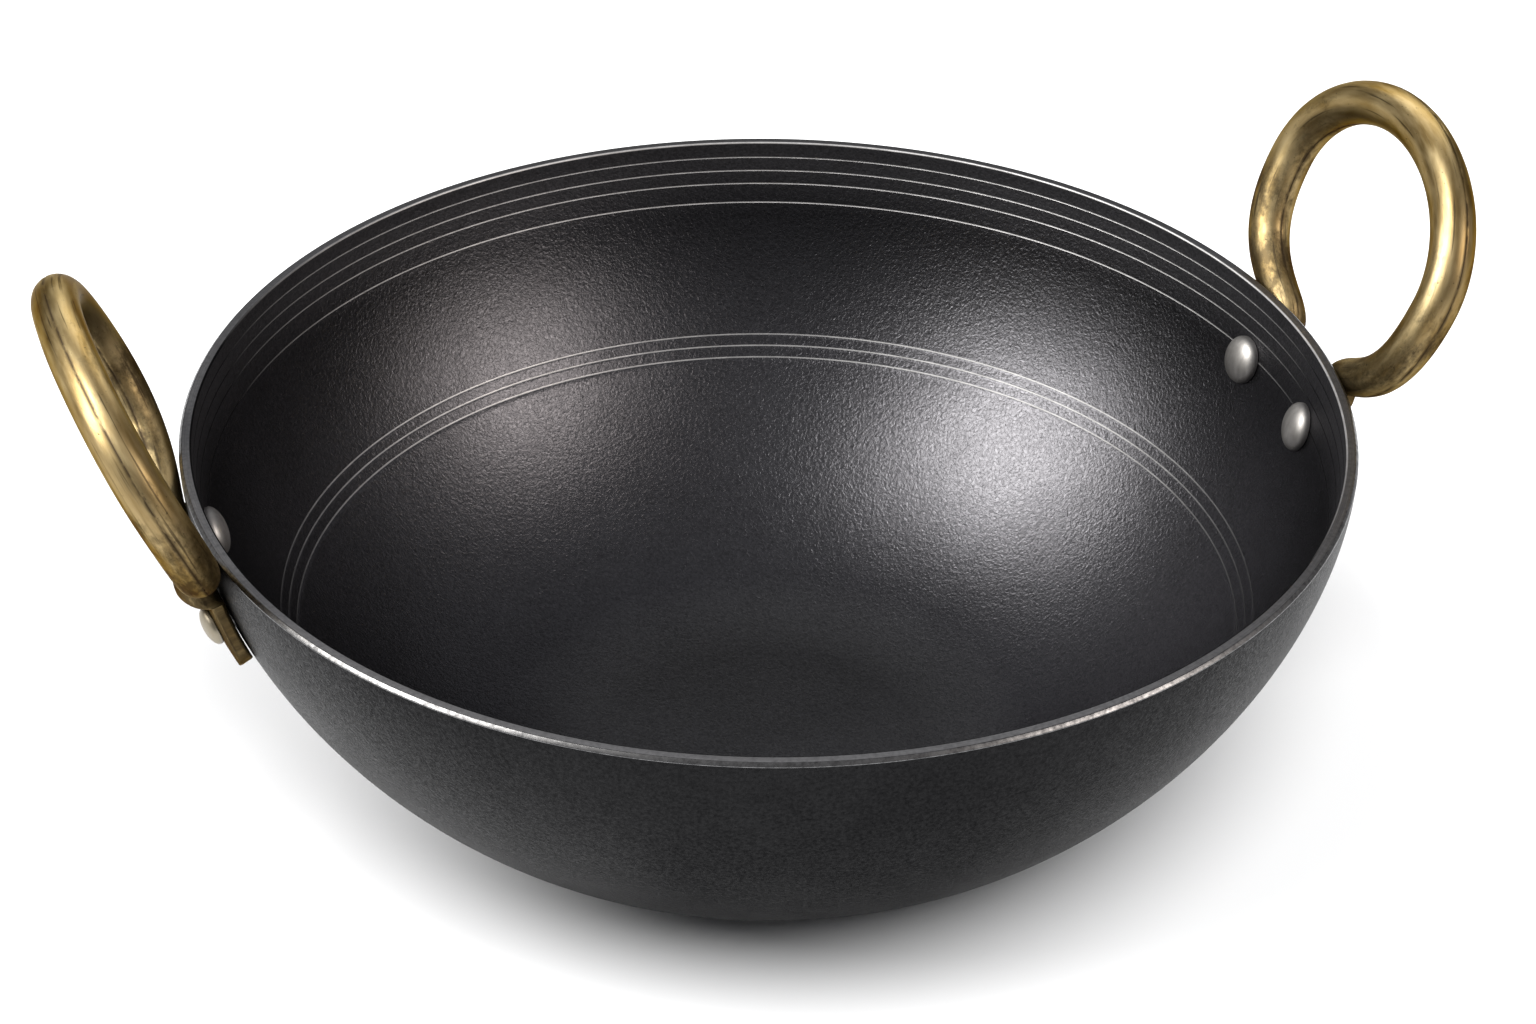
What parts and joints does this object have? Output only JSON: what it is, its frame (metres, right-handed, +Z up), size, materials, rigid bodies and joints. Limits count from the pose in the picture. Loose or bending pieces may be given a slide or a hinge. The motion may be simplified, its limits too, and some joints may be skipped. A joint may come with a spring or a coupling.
{
  "type": "iron kadai",
  "caption": "Deep round iron kadai with a flat base, a ground rim, rings scribed round the inside, and upright brass loop handles riveted to the wall by flattened feet.",
  "frame": {"origin": "centre of the flat base, on the surface the pan stands on", "axes": "+Z up along the axis of the bowl, +X towards the right handle, the left handle opposite it"},
  "size_m": [0.3648, 0.3, 0.1681],
  "materials": {
    "iron": "near-black satin with a fine grain, rim ground to grey",
    "brass": "aged, with dark patina in the creases",
    "rivet_steel": "satin domes"
  },
  "bodies": {
    "root": {"pan": "iron", "handle_right": "brass", "handle_left": "brass", "rivet_right_back": "rivet_steel", "rivet_right_front": "rivet_steel", "rivet_left_back": "rivet_steel", "rivet_left_front": "rivet_steel"}
  },
  "joints": []
}
